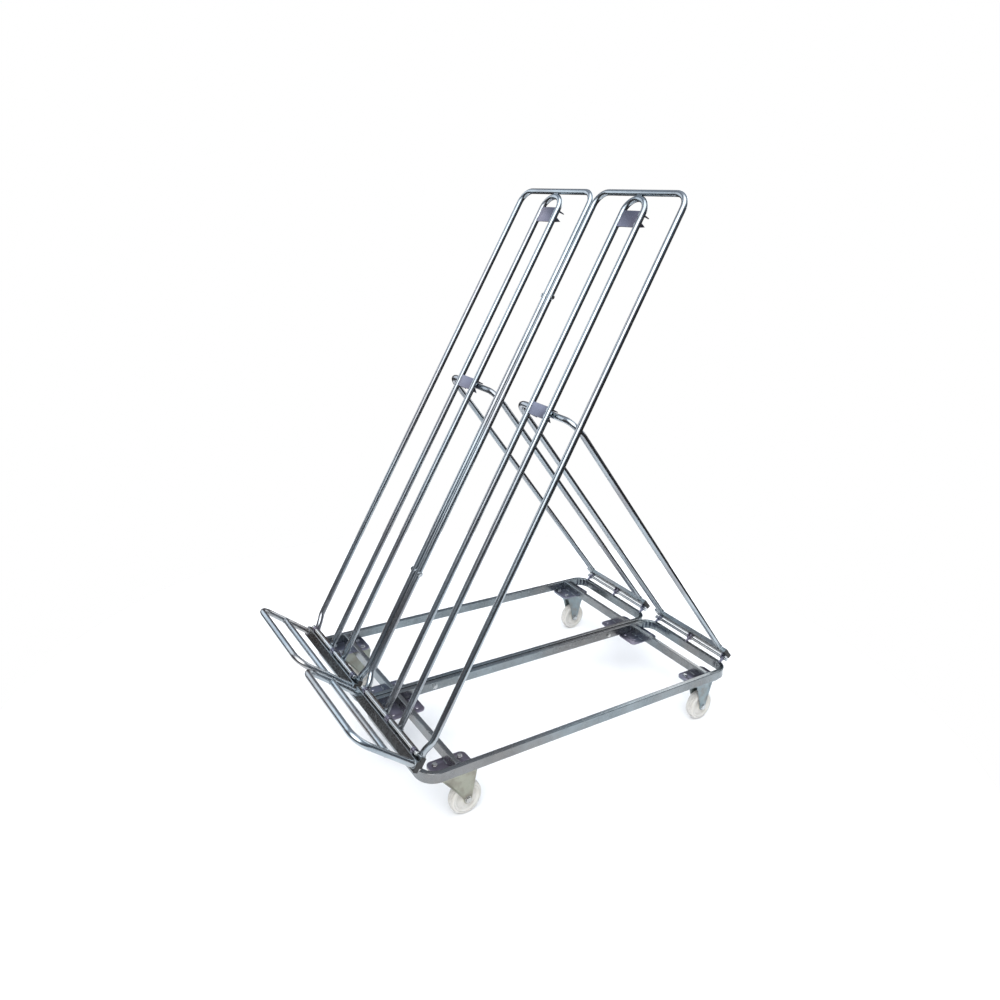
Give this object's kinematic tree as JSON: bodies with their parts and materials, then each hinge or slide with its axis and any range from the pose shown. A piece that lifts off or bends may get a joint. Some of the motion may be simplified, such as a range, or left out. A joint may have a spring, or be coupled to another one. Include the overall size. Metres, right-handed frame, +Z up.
{
  "type": "plant trolley",
  "caption": "Wheeled trolley of two joined tubular modules with reclined backs on swinging props and hinged toe frames, for moving tall plants.",
  "frame": {"origin": "on the floor, in the middle of the footprint's bounding rectangle", "axes": "+X to the right seen from behind the toe frames, +Y from the toe frames towards the rear hinge, +Z up"},
  "size_m": [0.804, 1.424, 1.7563],
  "materials": {
    "round_tube": "bright zinc plate",
    "rectangular_tube": "satin zinc plate",
    "zinc_sheet": "satin zinc plate",
    "bright_zinc": "bright zinc plate",
    "olive_zinc": "yellowish passivated zinc",
    "blue_zinc": "bluish passivated zinc",
    "nylon": "moulded natural nylon",
    "plug_plastic": "moulded black plastic"
  },
  "bodies": {
    "base": {"base_ring_left": "rectangular_tube", "base_ring_right": "rectangular_tube", "front_cross_members": "rectangular_tube", "rear_cross_members": "rectangular_tube", "caster_pads": "zinc_sheet", "front_hinge_lugs": "zinc_sheet", "rear_hinge_lugs": "zinc_sheet", "lower_hinge_rods": "bright_zinc", "rear_hinge_rods": "bright_zinc", "base_join_bolts": "bright_zinc", "rear_caster_bracket_left": "blue_zinc", "rear_caster_bracket_right": "blue_zinc", "rear_axle_bolts": "bright_zinc", "caster_mount_bolts": "bright_zinc", "swivel_plate_left": "olive_zinc", "swivel_plate_right": "olive_zinc", "swivel_kingpins": "bright_zinc"},
    "back": {"back_outer_tube_left": "round_tube", "back_inner_tube_left": "round_tube", "back_foot_tube_left": "rectangular_tube", "upper_catch_left": "zinc_sheet", "lower_catch_left": "zinc_sheet", "back_outer_tube_right": "round_tube", "back_inner_tube_right": "round_tube", "back_foot_tube_right": "rectangular_tube", "upper_catch_right": "zinc_sheet", "lower_catch_right": "zinc_sheet", "back_foot_plugs": "plug_plastic", "back_hinge_knuckles": "zinc_sheet", "toe_hinge_lugs": "zinc_sheet", "upper_hinge_rods": "bright_zinc", "back_join_bolts": "bright_zinc"},
    "prop_left": {"prop_tube_left": "round_tube", "prop_foot_tube_left": "rectangular_tube", "prop_foot_plugs_left": "plug_plastic", "prop_knuckles_left": "zinc_sheet"},
    "toe_left": {"toe_outer_bar_left": "round_tube", "toe_inner_bar_left": "round_tube", "toe_hinge_tube_left": "rectangular_tube", "toe_tube_plugs_left": "plug_plastic", "toe_knuckles_left": "zinc_sheet"},
    "swivel_left": {"swivel_fork_left": "olive_zinc", "front_axle_bolt_left": "bright_zinc"},
    "prop_right": {"prop_tube_right": "round_tube", "prop_foot_tube_right": "rectangular_tube", "prop_foot_plugs_right": "plug_plastic", "prop_knuckles_right": "zinc_sheet"},
    "toe_right": {"toe_outer_bar_right": "round_tube", "toe_inner_bar_right": "round_tube", "toe_hinge_tube_right": "rectangular_tube", "toe_tube_plugs_right": "plug_plastic", "toe_knuckles_right": "zinc_sheet"},
    "swivel_right": {"swivel_fork_right": "olive_zinc", "front_axle_bolt_right": "bright_zinc"},
    "wheel_front_left": {"front_wheel_left": "nylon"},
    "wheel_rear_left": {"rear_wheel_left": "nylon"},
    "wheel_front_right": {"front_wheel_right": "nylon"},
    "wheel_rear_right": {"rear_wheel_right": "nylon"}
  },
  "joints": [
    {"name": "back_hinge", "type": "hinge", "parent": "base", "child": "back", "pos_m": [0, -0.51392, 0.207], "axis": [1, 0, 0], "range_deg": [0, 60]},
    {"name": "prop_left_hinge", "type": "hinge", "parent": "base", "child": "prop_left", "pos_m": [-0.202, 0.69108, 0.205], "axis": [1, 0, 0], "range_deg": [0, 36]},
    {"name": "toe_left_hinge", "type": "hinge", "parent": "back", "child": "toe_left", "pos_m": [-0.202, -0.52183, 0.25542], "axis": [-1, 0, 0], "range_deg": [0, 83]},
    {"name": "swivel_left_turn", "type": "hinge", "parent": "base", "child": "swivel_left", "pos_m": [-0.354, -0.39892, 0.1], "axis": [0, 0, 1], "continuous": true},
    {"name": "front_wheel_left_spin", "type": "hinge", "parent": "swivel_left", "child": "wheel_front_left", "pos_m": [-0.354, -0.34892, 0.05], "axis": [1, 0, 0], "continuous": true},
    {"name": "rear_wheel_left_spin", "type": "hinge", "parent": "base", "child": "wheel_rear_left", "pos_m": [-0.354, 0.60008, 0.05], "axis": [1, 0, 0], "continuous": true},
    {"name": "prop_right_hinge", "type": "hinge", "parent": "base", "child": "prop_right", "pos_m": [0.202, 0.69108, 0.205], "axis": [1, 0, 0], "range_deg": [0, 36]},
    {"name": "toe_right_hinge", "type": "hinge", "parent": "back", "child": "toe_right", "pos_m": [0.202, -0.52183, 0.25542], "axis": [-1, 0, 0], "range_deg": [0, 83]},
    {"name": "swivel_right_turn", "type": "hinge", "parent": "base", "child": "swivel_right", "pos_m": [0.354, -0.39892, 0.1], "axis": [0, 0, 1], "continuous": true},
    {"name": "front_wheel_right_spin", "type": "hinge", "parent": "swivel_right", "child": "wheel_front_right", "pos_m": [0.354, -0.34892, 0.05], "axis": [1, 0, 0], "continuous": true},
    {"name": "rear_wheel_right_spin", "type": "hinge", "parent": "base", "child": "wheel_rear_right", "pos_m": [0.354, 0.60008, 0.05], "axis": [1, 0, 0], "continuous": true}
  ],
  "couplings": [
    {"joint": "prop_left_hinge", "follows": "back_hinge", "ratio": 0.6},
    {"joint": "prop_right_hinge", "follows": "back_hinge", "ratio": 0.6}
  ]
}
